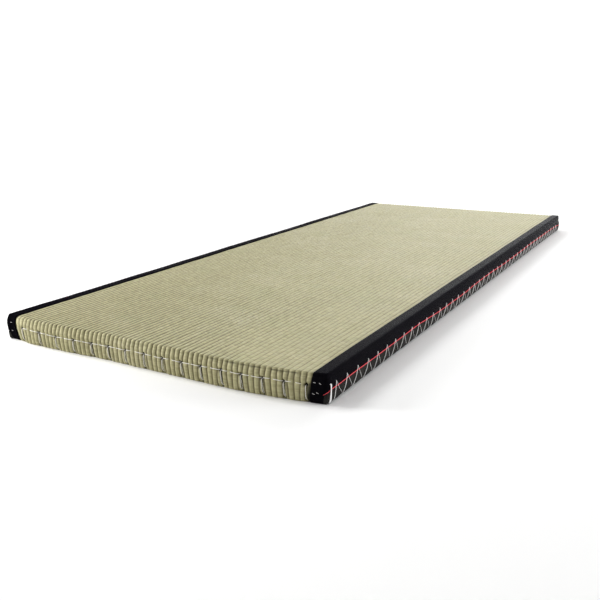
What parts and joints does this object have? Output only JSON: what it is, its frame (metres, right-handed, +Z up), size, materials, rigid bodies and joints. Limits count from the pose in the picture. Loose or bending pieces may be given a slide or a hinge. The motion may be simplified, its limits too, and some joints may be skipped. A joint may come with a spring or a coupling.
{
  "type": "tatami mat",
  "caption": "Thick straw-cored floor mat faced with ribbed woven rush, with a black cloth border sewn along each long side.",
  "frame": {"origin": "middle of the mat's box, on the surface that it rests on", "axes": "+X across the mat, +Y along it away from its bowed end, +Z up"},
  "size_m": [0.8, 2, 0.0575],
  "materials": {
    "woven_rush": "dry woven rush, pale straw green, ribbed",
    "border_cloth": "black cotton, plain weave, with a soft sheen"
  },
  "bodies": {
    "root": {"rush_mat": "woven_rush", "border_right": "border_cloth", "border_left": "border_cloth"}
  },
  "joints": []
}
